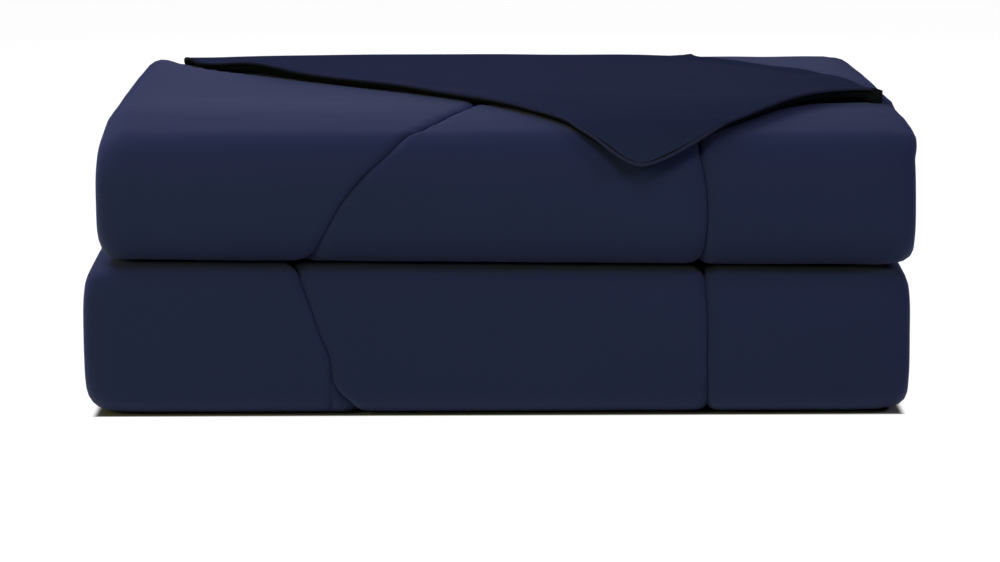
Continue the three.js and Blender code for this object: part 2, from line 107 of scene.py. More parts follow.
# The strip from one tucked end to the other, a row for each pass and fold. Crowding above 1 draws the rows of
# vertices towards the end of the pass that shows.
run = [
    {"from": lowerTuck, "y0": tuckY, "y1": lowerNoseY, "rows": 12, "crowdEnd": 2.2},
    {"from": lowerTuck, "to": bottomPass, "y": lowerNoseY, "side": -1, "hollow": folding["noseHollow"],
     "reach": folding["lowerNoseReach"], "rows": 54, "squareTop": 4.4, "squareLow": 3.4},
    {"from": bottomPass, "y0": lowerNoseY, "y1": backY, "rows": 12},
    {"from": bottomPass, "to": topPass, "y": backY, "side": 1, "hollow": folding["backHollow"],
     "reach": folding["backReach"], "rows": 44, "squareTop": 2.6, "squareLow": 2.8},
    {"from": topPass, "y0": backY, "y1": upperNoseY, "rows": 72, "crowdEnd": 1.5},
    {"from": topPass, "to": upperTuck, "y": upperNoseY, "side": -1, "hollow": folding["noseHollow"],
     "reach": folding["upperNoseReach"], "rows": 52, "squareTop": 2.4, "squareLow": 2.9},
    {"from": upperTuck, "y0": upperNoseY, "y1": tuckY, "rows": 12, "crowdStart": 2.2},
]
backFoldRow = 3
backFold, topRun, upperNose = run[backFoldRow:backFoldRow + 3]

# Length along the outside of the stack from its front crest, over the top and down the back.
topLength = backY - upperNoseY
noseLength = 165
backLength = 325

# The two quilting seams: where each stands in X along the run. The whole part of "at" is the row of the run,
# and its fraction the part of the way along that row.
seamRows = [
    {"at": 0, "curved": -60, "straight": 143},
    {"at": 1, "curved": -143, "straight": 143},
    {"at": 1.21, "curved": -137.6, "straight": 144.4},
    {"at": 1.36, "curved": -128, "straight": 146.7},
    {"at": 1.46, "curved": -122.5, "straight": 146.7},
    {"at": 1.56, "curved": -116, "straight": 146.7},
    {"at": 1.65, "curved": -114.6, "straight": 146.8},
    {"at": 1.7, "curved": -110.8, "straight": 146.9},
    {"at": 1.77, "curved": -102, "straight": 147},
    {"at": 2, "curved": -92, "straight": 147},
    {"at": 3, "curved": -60, "straight": 146},
    {"at": 3.5, "curved": 0, "straight": 142},
    {"at": 4, "curved": 42, "straight": 138.9},
    {"at": 4.74, "curved": -22, "straight": 134.3},
    {"at": 4.914, "curved": -46.3, "straight": 133.9},
    {"at": 5.025, "curved": -64.4, "straight": 134.8},
    {"at": 5.215, "curved": -81.2, "straight": 136.6},
    {"at": 5.34, "curved": -98.1, "straight": 139.7},
    {"at": 5.468, "curved": -112, "straight": 141.4},
    {"at": 5.612, "curved": -122.8, "straight": 141.5},
    {"at": 5.73, "curved": -131.4, "straight": 139.8},
    {"at": 5.79, "curved": -134.8, "straight": 138},
    {"at": 6, "curved": -140, "straight": 138},
    {"at": 7, "curved": -60, "straight": 140},
]

# The trough of a seam. Offsets are the places of the vertices across it.
quilting = {
    "straightDepth": 4.8,
    "curvedDepth": 4.0,
    "halfWidth": 10,
    "reverseDepth": 4,
    "offsets": [10, 8, 6.2, 4.6, 3.2, 2.1, 1.2, 0.5, 0, -0.5, -1.2, -2.1, -3.2, -4.6, -6.2, -8, -10],
    "tuckOffsets": [-11, -12, -13, -14, -15.5, -17],
    "rightColumns": 22,
    "middleColumns": 54,
    "leftColumns": 24,
    "hiddenColumns": 6,
}

# The cloth is caught in a short tuck beside the foot of the curved seam.
footTuck = {
    "x": -115.8,
    "from": 1.64,
    "to": 1.8,
    "depth": 2.2,
    "halfWidth": 3.4,
}

# The weight of the turned corner presses the top: the limits of the press in X and its depth, part of the way
# from the front crest to the back.
pressRows = [
    {"part": 0, "leftX": 58, "rightX": 330, "depth": 1.5},
    {"part": 0.3, "leftX": -10, "rightX": 330, "depth": 3.5},
    {"part": 0.36, "leftX": -30, "rightX": 276, "depth": 4},
    {"part": 0.64, "leftX": -137, "rightX": 246, "depth": 5.3},
    {"part": 0.79, "leftX": -198, "rightX": 209, "depth": 6},
    {"part": 0.94, "leftX": -238, "rightX": 163, "depth": 6.6},
    {"part": 1, "leftX": -252, "rightX": 148, "depth": 6.7},
]
pressFadeLeft = 12           # half the width of the slope at each side of the press
pressFadeRight = 13


def mix(a, b, t):
    return a + (b - a) * t


def clamp(value, low=0.0, high=1.0):
    return max(low, min(high, value))


def smoothStep(value, low, high):
    t = clamp((value - low) / (high - low))
    return t * t * (3 - 2 * t)


def squareRadius(angle, squareness):  # polar radius of a rounded square of half side 1
    return (abs(math.cos(angle)) ** squareness + abs(math.sin(angle)) ** squareness) ** (-1 / squareness)


def rowsAround(rows, column, value):  # the row after a value in a column, and how far on the way to it
    after = next((k for k in range(1, len(rows) - 1) if rows[k][column] >= value), len(rows) - 1)
    start = rows[after - 1][column]
    return after, (value - start) / (rows[after][column] - start)


def seamX(seam, at):  # a smooth curve through the rows
    k, t = rowsAround(seamRows, "at", at)
    before, after = seamRows[k - 1], seamRows[k]
    step = after["at"] - before["at"]

    def slope(j):
        low, high = seamRows[max(j - 1, 0)], seamRows[min(j + 1, len(seamRows) - 1)]
        return (high[seam] - low[seam]) / (high["at"] - low["at"])

    rise = after[seam] - before[seam]
    m0, m1 = slope(k - 1) * step, slope(k) * step
    return before[seam] + m0 * t + (3 * rise - 2 * m0 - m1) * t ** 2 + (m0 + m1 - 2 * rise) * t ** 3


def pressAt(x, y):
    k, t = rowsAround(pressRows, "part", clamp((y - upperNoseY) / topLength))
    before, after = pressRows[k - 1], pressRows[k]
    leftX = mix(before["leftX"], after["leftX"], t)
    rightX = mix(before["rightX"], after["rightX"], t)
    pastLeft = smoothStep(x, leftX - 2 * pressFadeLeft, leftX)
    pastRight = smoothStep(x, rightX - pressFadeRight, rightX + pressFadeRight)
    return mix(before["depth"], after["depth"], t) * pastLeft * (1 - pastRight)


def passHeight(layer, fraction, x, y, bare):
    press = pressAt(x, y) if layer["pressed"] and not bare else 0
    return layer["inner"] + (layer["outer"] - layer["inner"] - press) * fraction


def placeOn(row, t, x, fraction, bare=False):  # Y and Z at part t of a row of the run
    if "to" not in row:
        y = mix(row["y0"], row["y1"], t)
        return y, passHeight(row["from"], fraction, x, y, bare)
    angle = t * math.pi
    z0 = passHeight(row["from"], fraction, x, row["y"], bare)
    z1 = passHeight(row["to"], fraction, x, row["y"], bare)
    isTopHalf = (z0 > z1) == (angle < math.pi / 2)
    outerSquareness = row["squareTop"] if isTopHalf else row["squareLow"]
    radius = squareRadius(angle, mix(2, outerSquareness, min(fraction, 1)))
    reach = mix(row["hollow"], row["reach"], fraction)
    return (row["y"] + row["side"] * reach * radius * math.sin(angle),
            (z0 + z1) / 2 + (z0 - z1) / 2 * radius * math.cos(angle))


def settle(x, y, z):  # slack and small unevenness of the whole stack, shared by every piece
    side = x / (foldedWidth / 2)
    tilt = -folding["gapTilt"] * side * math.sin(math.pi * clamp(z / topPass["outer"]))
    outwards = max(0, (abs(x) - folding["curlStart"]) / folding["curlWidth"])
    curl = folding["curlLift"] * outwards ** 2 * max(0, 1 - z / folding["curlHeight"])
    up = smoothStep(z, folding["leanFrom"], folding["leanTo"])
    lower, upper = folding["lower"], folding["upper"]
    bulge = folding["leftBulge"] if x < 0 else folding["rightBulge"]
    bulge *= max(0, math.cos(math.pi * y / foldedDepth))
    shoulder = folding["leftShoulder"] if x < 0 else folding["rightShoulder"]
    bulge += (mix(shoulder["front"], shoulder["back"], clamp((y - upperNoseY) / topLength))
              * smoothStep(z, folding["shoulderFrom"], folding["shoulderTo"]))
    wide = x * mix(lower["widen"], upper["widen"], up) + mix(lower["lean"], upper["lean"], up)
    forward = max(0, (upperNoseY + folding["crownRun"] - y) / folding["crownRun"])
    crown = forward ** 2 if forward < 1 else 2 * forward - 1
    crown *= folding["crown"] * smoothStep(z, folding["crownFrom"], topPass["outer"])
    shiftX, shiftY = folding["shift"]
    return Vector((wide + bulge * side * abs(side) ** 2 + shiftX, y + shiftY, z + tilt + curl - crown)) * mm


def outside(x, along, high, bare=True):  # a place on the outside of the stack, raised above it
    fraction = 1 + high / upperStrip
    if along < 0:
        y, z = placeOn(upperNose, -along / noseLength, x, fraction, bare)
    elif along <= topLength:
        y, z = placeOn(topRun, 1 - along / topLength, x, fraction, bare)
    else:
        y, z = placeOn(backFold, 1 - (along - topLength) / backLength, x, fraction, bare)
    return settle(x, y, z)


def newPiece(name, bm, materials):  # a finished object at the origin, from a bmesh in metres
    mesh = bpy.data.meshes.new(name)
    bm.to_mesh(mesh)
    bm.free()
    for material in materials:
        mesh.materials.append(material)
    piece = bpy.data.objects.new(name, mesh)
    bpy.context.scene.collection.objects.link(piece)
    return piece


def mappedSheet(columns, rows, place, flat):
    # A closed sheet with two faces: place(column, row, face) gives each vertex, flat(column, row) its place
    # on the uncut cloth, in metres, for the UV map. Face 1 is the outer side.
    bm = bmesh.new()
    bmesh.ops.create_grid(bm, x_segments=columns, y_segments=rows, size=0.5)
    bmesh.ops.extrude_face_region(bm, geom=list(bm.faces), use_keep_orig=True)
    bm.verts.index_update()
    half = (columns + 1) * (rows + 1)
    cells = []
    for vert in bm.verts:
        column, row = round((vert.co.x + 0.5) * columns), round((vert.co.y + 0.5) * rows)
        cells.append((column, row, int(vert.index >= half)))
    for vert, (column, row, face) in zip(bm.verts, cells):
        vert.co = place(column, row, face)
    uv = bm.loops.layers.uv.new("UVMap")
    for bmFace in bm.faces:
        sides = [cells[loop.vert.index][2] for loop in bmFace.loops]
        bmFace.material_index = 0 if all(sides) else 1
        bmFace.smooth = True
        for loop in bmFace.loops:
            column, row, _ = cells[loop.vert.index]
            loop[uv].uv = flat(column, row)
    bmesh.ops.recalc_face_normals(bm, faces=list(bm.faces))
    return bm, cells


# The filled body: the section across the strip, carried along the run.

def acrossSection():
    # One band of cloth, from the hem inside the left end, round the right end, along the outermost layer,
    # round the left end and back to the hem at the right. Faces are fractions of the strip's thickness, the
    # reverse first.
    strip = (lowerStrip + upperStrip) / 2
    third = 1 / 3
    half = layerGap / 2 / strip
    hem = folding["hemThickness"] / 2 / strip
    leftFold, rightFold = folding["leftFold"], folding["rightFold"]
    endX = foldedWidth / 2
    leftX = -endX + leftFold["reach"]
    rightX = endX - rightFold["reach"]
    columns = []

    def flat(x, reverse, face):
        columns.append({"kind": "flat", "x": x, "faces": (reverse, face)})

    def flatRun(x0, x1, reverse, face):
        for step in range(quilting["hiddenColumns"] + 1):
            flat(mix(x0, x1, step / quilting["hiddenColumns"]), reverse, face)

    def turn(atX, side, centre, shape, inner, outer):
        for step in range(1, shape["steps"]):
            angle = side * math.pi * (step / shape["steps"] - 0.5)
            columns.append({"kind": "fold", "atX": atX, "side": side, "centre": centre, "shape": shape,
                            "rise": (inner, outer), "angle": angle})

    flat(leftX + folding["hemInset"], third * 1.5 + hem, third * 1.5 - hem)
    flatRun(leftX + folding["hemTaper"], rightX, 2 * third - half, third + half)
    turn(rightX, 1, 2 * third, rightFold, half, third - half)
    columns.extend({"kind": "outer", "leftX": leftX, "rightX": rightX, "faces": (2 * third + half, 1), **stop}
                   for stop in outerStops())
    turn(leftX, -1, third * 1.5, leftFold, third / 2 + half, third * 1.5)
    flatRun(leftX, endX - folding["hemTaper"], third - half, 0)
    flat(endX - folding["hemInset"], third / 2 + hem, third / 2 - hem)
    return columns


def outerStops():  # the columns of the outermost layer from right to left, close together at its two seams
    def even(a, b, count, closed):
        return [{"between": (a, b), "part": step / count} for step in range(count + closed)]

    def seam(name, offsets):
        return [{"seamAt": name, "offset": offset} for offset in offsets]

    across = quilting["offsets"]
    return (even("right", "straight", quilting["rightColumns"], 0) + seam("straight", across)
            + even("straight", "curved", quilting["middleColumns"], 0)[1:]
            + seam("curved", across + quilting["tuckOffsets"])
            + even("curved", "left", quilting["leftColumns"], 1)[1:])


def outerX(column, at):  # X of a column of the outermost layer at a place along the run
    name = column.get("seamAt")
    if name:
        return seamX(name, at) + column["offset"]
    a, b = column["between"]
    starts = {"right": column["rightX"], "straight": seamX("straight", at) + quilting["offsets"][-1],
              "curved": seamX("curved", at) + quilting["tuckOffsets"][-1]}
    ends = {"straight": seamX("straight", at) + quilting["halfWidth"],
            "curved": seamX("curved", at) + quilting["halfWidth"], "left": column["leftX"]}
    return mix(starts[a], ends[b], column["part"])


def troughDepth(offset, depth):  # two rounded shoulders that meet in the stitched line
    away = min(abs(offset) / quilting["halfWidth"], 1)
    return depth * (1 - math.sqrt(1 - (1 - away) ** 2))


def tuckDepth(x, at):
    if not footTuck["from"] < at < footTuck["to"]:
        return 0
    part = (at - footTuck["from"]) / (footTuck["to"] - footTuck["from"])
    away = min(abs(x - footTuck["x"]) / footTuck["halfWidth"], 1)
    return footTuck["depth"] * math.sin(math.pi * part) ** 0.5 * (1 - away) ** 1.5


def sectionPlace(column, face, at):  # X and fraction of the strip's thickness
    if column["kind"] == "fold":
        shape = column["shape"]
        squareness = mix(shape["squareLower"], shape["squareUpper"], clamp(at - backFoldRow))
        radius = squareRadius(column["angle"], squareness if face else 2)
        reach = shape["reach"] if face else shape["hollow"]
        return (column["atX"] + column["side"] * reach * radius * math.cos(column["angle"]),
                column["centre"] + column["rise"][face] * radius * math.sin(column["angle"]))
    if column["kind"] == "outer":
        fraction = column["faces"][face]
        x = outerX(column, at)
        if "seamAt" in column:
            depth = quilting[column["seamAt"] + "Depth"] if face else -quilting["reverseDepth"]
            fraction -= troughDepth(column["offset"], depth) / upperStrip
        if face:
            fraction -= tuckDepth(x, at) / lowerStrip
        return x, fraction
    return column["x"], column["faces"][face]


def runStations():
    stations = []
    for number, row in enumerate(run):
        for step in range(1 if stations else 0, row["rows"] + 1):
            t = step / row["rows"]
            if "crowdEnd" in row:
                t = 1 - (1 - t) ** row["crowdEnd"]
            if "crowdStart" in row:
                t = t ** row["crowdStart"]
            stations.append((row, t, number + t))
    return stations


def clothDistances(points):  # running length along a line of points
    total = [0.0]
    for a, b in zip(points, points[1:]):
        total.append(total[-1] + (b - a).length)
    return total


filling = {
    "swell": 0.9 * mm,       # soft unevenness of the filling, broad and fine
    "swellScale": 9.0,
    "ripple": 0.28 * mm,
    "rippleScale": 34.0,
    "pucker": 0.45 * mm,     # small gathers beside the seams
    "puckerScale": 75.0,
    "puckerPlace": {"curved": 7, "straight": 3},  # where each seam reads the noise
    "floorFade": 14 * mm,    # the cloth lies flat on the floor
}


def buildBody(materials):
    columns = acrossSection()
    stations = runStations()

    def place(i, j, face):
        row, t, at = stations[j]
        x, fraction = sectionPlace(columns[i], face, at)
        return settle(x, *placeOn(row, t, x, fraction))

    middleRow = len(stations) // 2
    middleColumn = next(i for i, column in enumerate(columns) if column.get("offset") == 0)
    across = clothDistances([place(i, middleRow, 1) for i in range(len(columns))])
    along = clothDistances([place(middleColumn, j, 1) for j in range(len(stations))])
    bm, cells = mappedSheet(len(columns) - 1, len(stations) - 1, place, lambda i, j: (across[i], along[j]))

    # The filling isn't even: the outer face swells a little, and gathers beside the seams.
    bm.normal_update()
    for vert, (i, j, face) in zip(bm.verts, cells):
        column, row = columns[i], stations[j][0]
        shows = "to" in row or row is topRun
        if not face or column["kind"] == "flat" or not shows:
            continue
        swell = filling["swell"] * noise.noise(vert.co * filling["swellScale"])
        swell += filling["ripple"] * noise.noise(vert.co * filling["rippleScale"])
        if "seamAt" in column:
            away = min(abs(column["offset"]) / quilting["halfWidth"], 1)
            gather = Vector((0, along[j] * filling["puckerScale"], filling["puckerPlace"][column["seamAt"]]))
            swell += filling["pucker"] * noise.noise(gather) * math.sin(math.pi * away)
        vert.co += vert.normal * swell * smoothStep(vert.co.z, 0, filling["floorFade"])

    seamLines = {}
    for vert, (i, j, face) in zip(bm.verts, cells):
        if face and columns[i].get("offset") == 0:
            seamLines.setdefault(columns[i]["seamAt"], {})[j] = (vert.co.copy(), vert.normal.copy())
    shown = [j for j, (row, _, _) in enumerate(stations)
             if "to" in row or row is topRun or row["from"] is bottomPass]
    seams = [[line[j] for j in shown] for line in seamLines.values()]
    return newPiece("comforter_body", bm, materials), seams


# The turned corner: one layer of the comforter turned over on the top, reverse side up. Each row of its free
# edge is X, length along the outside from the front crest (less than nought is down the front), its height
# above the stack, and that of the underside of the rim.
freeEdge = [
    (-253, 695, 6, 3.4), (-257, 650, 6, 3.4), (-260, 605, 6, 3.4), (-260, 560, 5, 2), (-259, 520, 3, 0),
    (-255, 480, -0.5, -3.5), (-247, 443, -1.8, -4.6), (-238.4, 412, -1.4, -4.4), (-224, 387, 0.5, -3),
    (-210.4, 365, 3.5, -0.5), (-193.9, 337, 6, 1), (-175.2, 302, 6.3, 1), (-159.5, 280, 4.8, 1),
    (-137.7, 256, 3.8, 1), (-109.9, 228, 3.6, 1), (-79, 193, 3.9, 1), (-55, 160, 3.7, 1),
    (-30, 125, 3.5, 1), (-3, 89.7, 3.3, 1), (21.1, 47.6, 3.6, 1), (40.4, 12.1, 4.5, 1.2),
    (52.2, -16.5, 5.5, 1.8), (63.2, -30, 7, 2.6), (74.1, -41, 9, 4), (85.1, -48.9, 11.4, 6),
    (93.6, -52, 12.5, 7.5),                                # the tip
    (102.1, -50.2, 11.2, 7), (111, -46.3, 9.5, 6), (120.9, -41, 8, 4.8), (139.8, -27.3, 6.5, 3.2),
    (159.1, -2.9, 5.5, 2), (183.9, 43, 5, 1), (203, 83, 5, 1), (222, 116, 5.2, 0.8),
    (240, 134, 5.5, 0.4), (254, 137.5, 6, -0.2), (266, 138, 6, -0.7), (276.5, 142, 4.5, -1.2),
]
tipRow = 25

# The crease it is turned over on, from the right end of the stack to the foot of the back: X and length.
creaseRows = [
    (279.5, 150, 0), (275, 174, 0), (269.5, 198, 0), (263, 238, 0), (250.9, 283, 0), (236.2, 317, 0),
    (214.1, 352, 0), (189.8, 388, 0), (169.4, 417, 0), (154.2, 443, 0), (150, 560, 0), (190, 695, 0),
]

turnedCorner = {
    "thickness": 8,
    "sideThin": 2.2,         # how much thinner it is at its sides
    "rimTop": 1.8,           # how far the rim rises above the edge's height
    "rest": 1.5,             # how far it lies above the stack
    "rimWidth": 42,
    "creaseWidth": 15,
    "creaseDepth": 6,        # how deep the crease is joined into the stack
    "joinStart": 0.7,
    "joinEnd": 1.5,
    "leastThickness": 1,
    "footStart": 0.9,        # where it thins out at the foot of the back
    "footRise": 1,
    "columns": 120,
    "rows": 190,
    "crowding": 0.4,
    "swell": 0.7 * mm,
    "swellScale": 14.0,
}


def smoothLine(rows):
    # A centripetal curve through the rows; part 0 to 1 moves from row to row in equal steps.
    points = [Vector(row) for row in rows]

    def place(part):
        at = clamp(part) * (len(points) - 1)
        k = min(int(at), len(points) - 2)
        t = at - k
        p1, p2 = points[k], points[k + 1]
        p0 = points[k - 1] if k else 2 * p1 - p2
        p3 = points[k + 2] if k + 2 < len(points) else 2 * p2 - p1
        d0, d1, d2 = (math.sqrt((b - a).length) for a, b in ((p0, p1), (p1, p2), (p2, p3)))
        m1 = ((p1 - p0) / d0 - (p2 - p0) / (d0 + d1) + (p2 - p1) / d1) * d1
        m2 = ((p2 - p1) / d1 - (p3 - p1) / (d1 + d2) + (p3 - p2) / d2) * d1
        return (p1 + m1 * t + (3 * (p2 - p1) - 2 * m1 - m2) * t ** 2
                + (2 * (p1 - p2) + m1 + m2) * t ** 3)

    return place


def edgeLine(rows, column):  # through the places of the rows, with the heights in a column of theirs
    return smoothLine([(row[0], row[1], row[column]) for row in rows])


edgeColumn, underColumn = 2, 3
leftEdge = freeEdge[:tipRow + 1]                             # from the foot of the back to the tip
frontEdge = list(reversed(freeEdge[tipRow:]))                # from the right end of the crease to the tip
leftSide, leftUnder = edgeLine(leftEdge, edgeColumn), edgeLine(leftEdge, underColumn)
frontSide, frontUnder = edgeLine(frontEdge, edgeColumn), edgeLine(frontEdge, underColumn)
creaseLine = smoothLine(creaseRows)


def cornerPlace(a, b):  # a from the crease to the left side, b from the front side to the foot
    right, left, front = creaseLine(b), leftSide(1 - b), frontSide(a)
    rightFoot, leftFoot = creaseLine(1), leftSide(0)
    rightFoot.z = leftFoot.z
    back = rightFoot.lerp(leftFoot, a)
    rightFoot.z = 0
    corners = creaseLine(0).lerp(leftSide(1), a).lerp(rightFoot.lerp(leftFoot, a), b)
    place = right.lerp(left, a) + front.lerp(back, b) - corners
    return place, (place - left).length, (place - front).length, (place - right).length


def cornerHeights(a, b):  # the place, and the heights of the lower and upper face above the stack
    size = turnedCorner
    place, toLeft, toFront, toCrease = cornerPlace(a, b)
    nearLeft = 1 - smoothStep(toLeft, 0, size["rimWidth"])
    nearFront = 1 - smoothStep(toFront, 0, size["rimWidth"])
    nearRim = max(nearLeft, nearFront)
    rimHeight = rimUnder = 0
    if nearRim:
        rimHeight = (leftSide(1 - b).z * nearLeft + frontSide(a).z * nearFront) / (nearLeft + nearFront)
        rimUnder = (leftUnder(1 - b).z * nearLeft + frontUnder(a).z * nearFront) / (nearLeft + nearFront)
    y = outside(place.x, place.y, 0).y / mm - folding["shift"][1]
    rest = size["rest"] - pressAt(place.x, y)
    thickness = size["thickness"] - size["sideThin"] * (2 * a - 1) ** 2
    low = mix(rest, rimUnder, nearRim)
    high = mix(rest + thickness, rimHeight + size["rimTop"], nearRim)
    foot = smoothStep(b, size["footStart"], 1)
    high = mix(high, size["footRise"], foot)
    join = smoothStep(toCrease / size["creaseWidth"], size["joinStart"], size["joinEnd"])
    low = mix(low, -pressAt(place.x, y) - size["creaseDepth"], max(1 - join, foot))
    roundness = math.sqrt(1 - (1 - min(toCrease / size["creaseWidth"], 1)) ** 2)
    return place, low, mix(low + size["leastThickness"], high, roundness), nearRim


def buildCorner(materials):
    columns, rows = turnedCorner["columns"], turnedCorner["rows"]
    heights = {}

    def cornerAt(i, j):
        if (i, j) not in heights:
            a = mix(i / columns, (i / columns) ** 2, turnedCorner["crowding"])
            heights[i, j] = cornerHeights(a, j / rows)
        return heights[i, j]

    def place(i, j, face):
        at, low, high, nearRim = cornerAt(i, j)
        co = outside(at.x, at.y, high if face else low)
        if face:  # the filling isn't even
            co.z += turnedCorner["swell"] * (1 - nearRim) * noise.noise(co * turnedCorner["swellScale"])
        return co

    bm, cells = mappedSheet(columns, rows, place, lambda i, j: tuple(cornerAt(i, j)[0].xy * mm))
    return newPiece("turned_corner", bm, materials)


# The sewn cord along the free edge of the turned corner.
pipingCord = {
    "radius": 1.3,
    "rise": 0.9,             # how far its middle lies above the edge's height
    "sink": 0.25,            # how far it is pulled into the rim
    "sides": 12,
    "step": 2,
    "startPart": 0.075,      # it begins this part of the way from the foot to the tip
    "endPart": 0.06,         # and ends this part short of the crease
    "leftPoints": 400,       # points that its route is read at on each side
    "frontPoints": 200,
    "lookAhead": 2,          # points that its direction is taken over
    "closeWithin": 0.02,
}


def pipingPath():
    size = pipingCord
    leftPoints, frontPoints, reach = size["leftPoints"], size["frontPoints"], size["lookAhead"]
    left = [leftSide(mix(size["startPart"], 1, k / leftPoints)) for k in range(leftPoints + 1)]
    front = [frontSide(mix(1, size["endPart"], k / frontPoints)) for k in range(frontPoints + 1)]
    edge = left + front[1:]
    path = []
    for k, place in enumerate(edge):
        ahead = edge[min(k + reach, len(edge) - 1)] - edge[max(k - reach, 0)]
        ahead.z = 0
        ahead.normalize()
        away = size["radius"] - size["sink"]
        path.append(outside(place.x + ahead.y * away, place.y - ahead.x * away, place.z + size["rise"]))
    return path


def evenPoints(path, step):  # points a step apart along a line of points
    points, carried = [path[0]], 0.0
    for a, b in zip(path, path[1:]):
        length = (b - a).length
        while carried + length >= step:
            a = a.lerp(b, (step - carried) / length)
            points.append(a)
            length, carried = (b - a).length, 0.0
        carried += length
    return points


def buildPiping(material):
    path = evenPoints(pipingPath(), pipingCord["step"] * mm)
    sides, radius = pipingCord["sides"], pipingCord["radius"] * mm
    bm = bmesh.new()
    bmesh.ops.create_grid(bm, x_segments=sides, y_segments=len(path) - 1, size=0.5)
    uv = bm.loops.layers.uv.new("UVMap")
    cells = {vert: (round((vert.co.x + 0.5) * sides), round((vert.co.y + 0.5) * (len(path) - 1)))
             for vert in bm.verts}
    for face in bm.faces:
        face.smooth = True
        for loop in face.loops:
            side, k = cells[loop.vert]
            loop[uv].uv = (2 * math.pi * radius * side / sides, k * pipingCord["step"] * mm)
    for vert, (side, k) in cells.items():
        ahead = (path[min(k + 1, len(path) - 1)] - path[max(k - 1, 0)]).normalized()
        across = ahead.cross(Vector((0, 0, 1))).normalized()
        up = across.cross(ahead)
        angle = 2 * math.pi * side / sides
        vert.co = path[k] + (across * math.cos(angle) + up * math.sin(angle)) * radius
    bmesh.ops.remove_doubles(bm, verts=list(bm.verts), dist=pipingCord["closeWithin"] * mm)
    bmesh.ops.holes_fill(bm, edges=[edge for edge in bm.edges if edge.is_boundary], sides=0)
    bmesh.ops.recalc_face_normals(bm, faces=list(bm.faces))
    return newPiece("edge_piping", bm, [material])


# Stitches of the quilting, each a small stretched bead that lies in the seam.
stitching = {
    "length": 2.6,
    "pitch": 3.6,
    "thickness": 0.5,
    "lift": 0.15,
}


def buildStitches(seams, material):
    length, thickness, lift = (stitching[name] * mm for name in ("length", "thickness", "lift"))
    bm = bmesh.new()
    for seam in seams:
        line = evenPoints([co for co, _ in seam], stitching["pitch"] * mm)
        nearest = 0
        for k, co in enumerate(line[:-1]):
            while nearest + 1 < len(seam):
                if (seam[nearest + 1][0] - co).length >= (seam[nearest][0] - co).length:
                    break
                nearest += 1
            normal = seam[nearest][1]
            ahead = (line[k + 1] - co).normalized()
            across = normal.cross(ahead).normalized()
            made = bmesh.ops.create_uvsphere(bm, u_segments=6, v_segments=4, radius=0.5)
            for vert in made["verts"]:
                x, y, z = vert.co
                vert.co = co + normal * (lift + y * thickness) + ahead * z * length + across * x * thickness
    for face in bm.faces:
        face.smooth = True
    bmesh.ops.recalc_face_normals(bm, faces=list(bm.faces))
    return newPiece("quilting_stitches", bm, [material])


# Finishes. Wire wraps a node's output, so that shader maths reads as plain expressions.

class Wire:
    def __init__(self, finish, socket):
        self.finish = finish
        self.socket = socket

    def maths(self, operation, first, second):
        return self.finish.node("ShaderNodeMath", {"operation": operation}, {0: first, 1: second})

    def __add__(self, other):
        return self.maths("ADD", self, other)

    def __radd__(self, other):
        return self.maths("ADD", other, self)

    def __sub__(self, other):
        return self.maths("SUBTRACT", self, other)

    def __rsub__(self, other):
        return self.maths("SUBTRACT", other, self)

    def __mul__(self, other):
        return self.maths("MULTIPLY", self, other)

    def __rmul__(self, other):
        return self.maths("MULTIPLY", other, self)


class Finish:
    def __init__(self, name):
        self.material = bpy.data.materials.new(name)
        self.material.use_nodes = True
        self.tree = self.material.node_tree
        self.tree.nodes.clear()

    def node(self, kind, settings, inputs, output=0):
        made = self.tree.nodes.new(kind)
        for name, value in settings.items():
            setattr(made, name, value)
        for name, value in inputs.items():
            if isinstance(value, Wire):
                self.tree.links.new(value.socket, made.inputs[name])
            else:
                made.inputs[name].default_value = value
        return Wire(self, made.outputs[output])

    def sine(self, value, wavelength):
        turns = value * (2 * math.pi / wavelength)
        return self.node("ShaderNodeMath", {"operation": "SINE"}, {0: turns})

    def noise(self, vector, scale, detail=2.0, roughness=0.5):
        return self.node("ShaderNodeTexNoise", {"noise_dimensions": "3D"},
                         {"Vector": vector, "Scale": scale, "Detail": detail, "Roughness": roughness})

    def blend(self, fraction, dark, light):  # a colour between two
        return self.node("ShaderNodeMix", {"data_type": "RGBA"}, {0: fraction, 6: dark, 7: light}, 2)

    def surface(self, inputs):
        shader = self.node("ShaderNodeBsdfPrincipled", {}, inputs)
        self.endWith(shader)
        return self.material

    def endWith(self, shader):
        end = self.tree.nodes.new("ShaderNodeOutputMaterial")
        self.tree.links.new(shader.socket, end.inputs["Surface"])


coolCloth = {
    "face": {"dark": (0.0108, 0.0150, 0.0374, 1), "light": (0.0128, 0.0176, 0.0436, 1),
             "specular": 0.012, "sheen": 0.1},
    "reverse": {"dark": (0.0112, 0.0155, 0.0322, 1), "light": (0.0132, 0.0181, 0.0378, 1),
                "specular": 0.0015, "sheen": 0},
    # The rim, the underside and sides of the turned corner, is painted near-black: painted shade under its
    # edge.
    "rim": {"dark": (0.0042, 0.0055, 0.0062, 1), "light": (0.0052, 0.0066, 0.0076, 1),
            "specular": 0, "sheen": 0},
    "broadScale": 7.0,       # the tone changes in broad patches and in fine flecks
    "fleckScale": 420.0,
    "broadShare": 0.75,
    "roughness": 0.60,
    "roughnessSpread": 0.12,
    "sheenTint": (0.50, 0.56, 1.0, 1),
    "wale": 0.0012,          # the knit's rows, in metres of cloth
    "course": 0.0009,
    "knitStrength": 0.5,
    "knitHeight": 0.00004,
    "dimpleScale": 26.0,
    "dimpleStrength": 0.35,
    "dimpleHeight": 0.0005,
}


